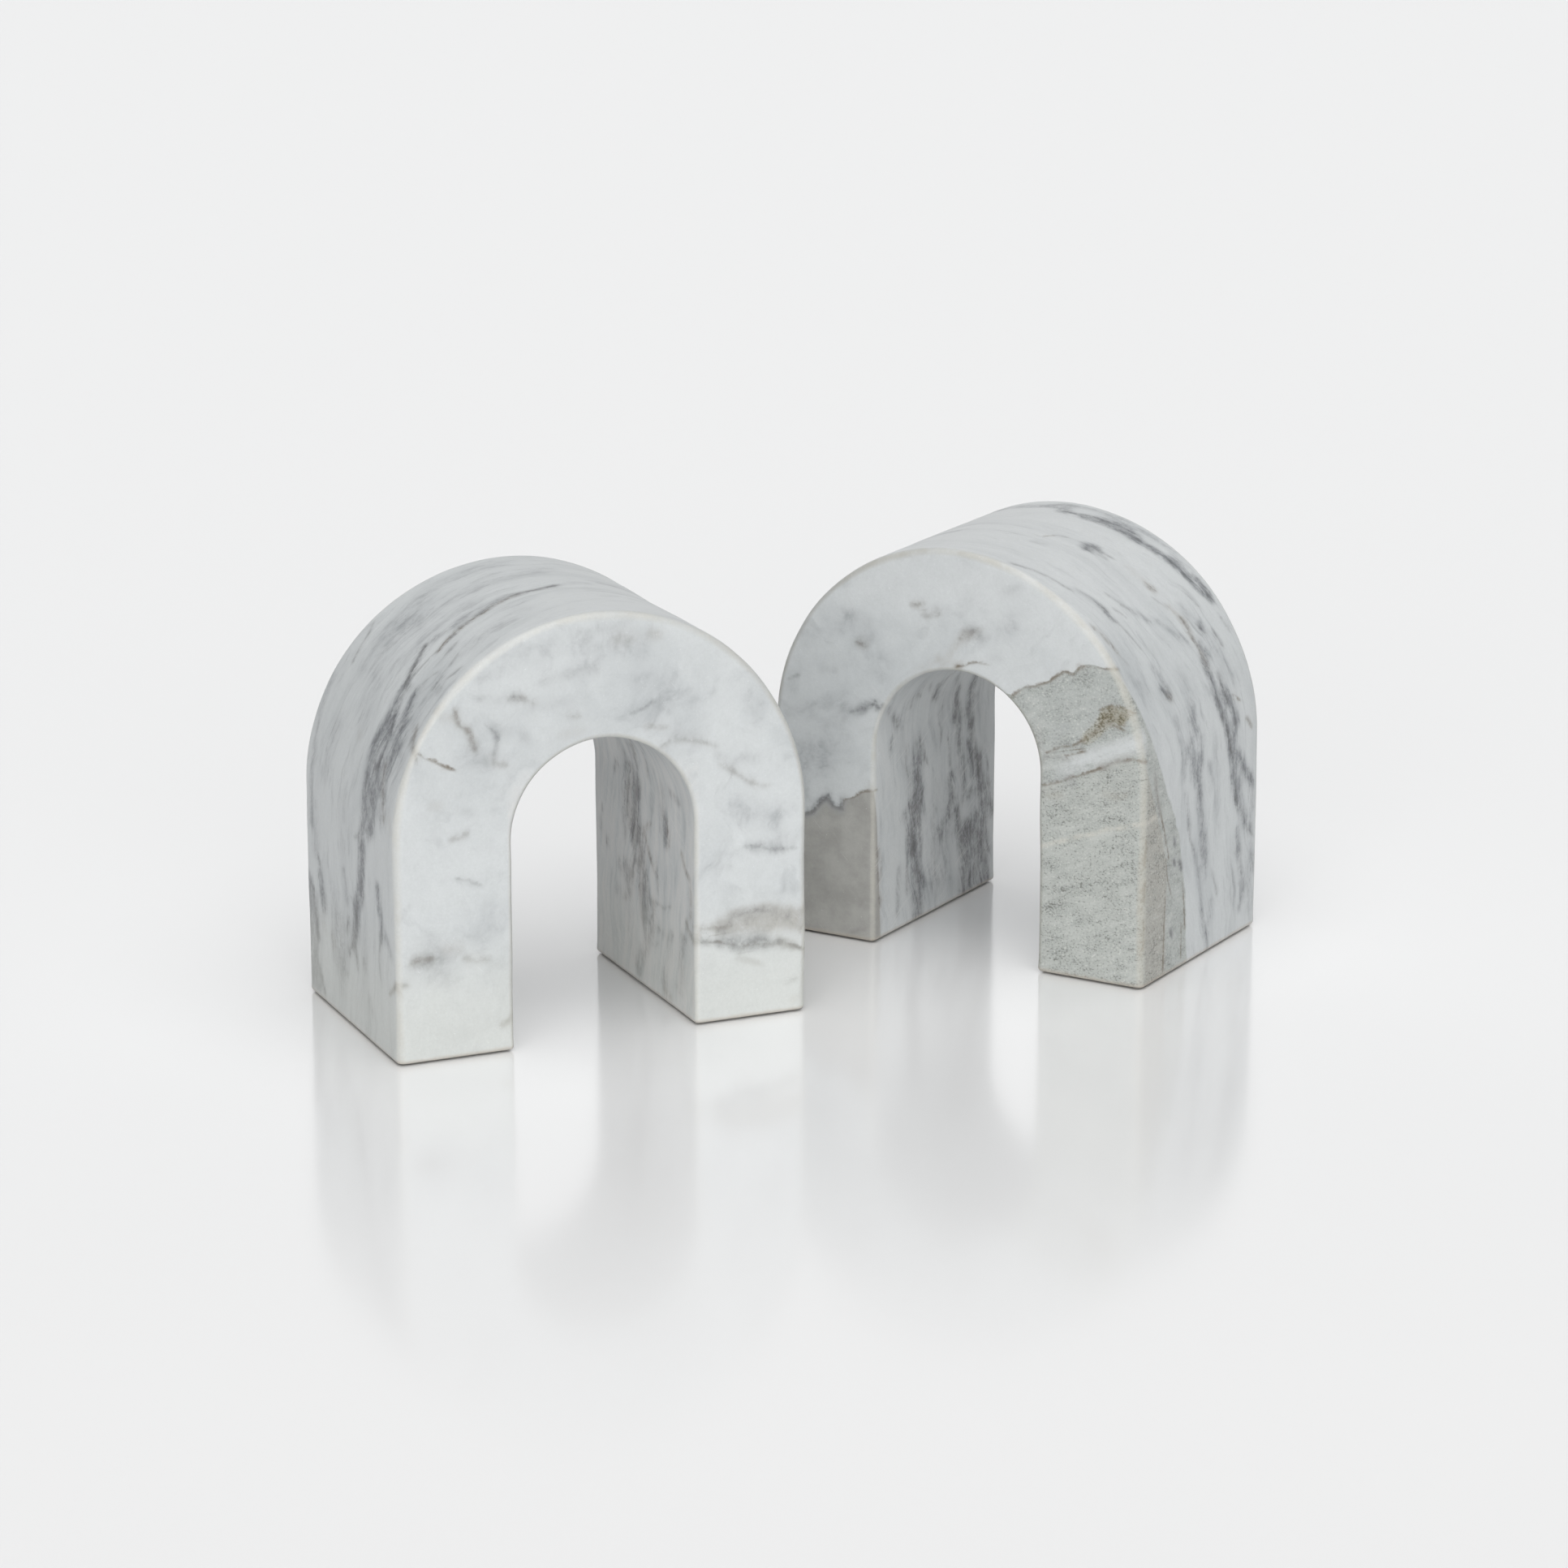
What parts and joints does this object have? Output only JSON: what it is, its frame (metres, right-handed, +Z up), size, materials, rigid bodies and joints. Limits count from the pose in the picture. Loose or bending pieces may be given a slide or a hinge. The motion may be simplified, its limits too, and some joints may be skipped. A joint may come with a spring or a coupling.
{
  "type": "book ends",
  "caption": "Matching solid marble book ends, each an upright round-topped arch cut from one block, with thin protective pads under its feet.",
  "frame": {"origin": "on the shelf plane, in the middle of the floor area that the pair covers as it is set down", "axes": "+X to the right along the shelf, +Y away from the shelf's front edge, +Z up"},
  "size_m": [0.2926, 0.2052, 0.13],
  "materials": {
    "left_marble": "honed white marble with soft blue-grey veins",
    "right_marble": "honed white marble with grey-green bands and rust-brown veinlets",
    "pad": "matt, thin foam rubber"
  },
  "bodies": {
    "left_bookend": {"left_arch": "left_marble", "left_pad_outer_front": "pad", "left_pad_outer_back": "pad", "left_pad_inner_front": "pad", "left_pad_inner_back": "pad"},
    "right_bookend": {"right_arch": "right_marble", "right_pad_outer_front": "pad", "right_pad_outer_back": "pad", "right_pad_inner_front": "pad", "right_pad_inner_back": "pad"}
  },
  "joints": [
    {"name": "pair_spread", "type": "slide", "parent": "left_bookend", "child": "right_bookend", "axis": [1, 0, 0], "range_m": [0, 0.3]}
  ]
}
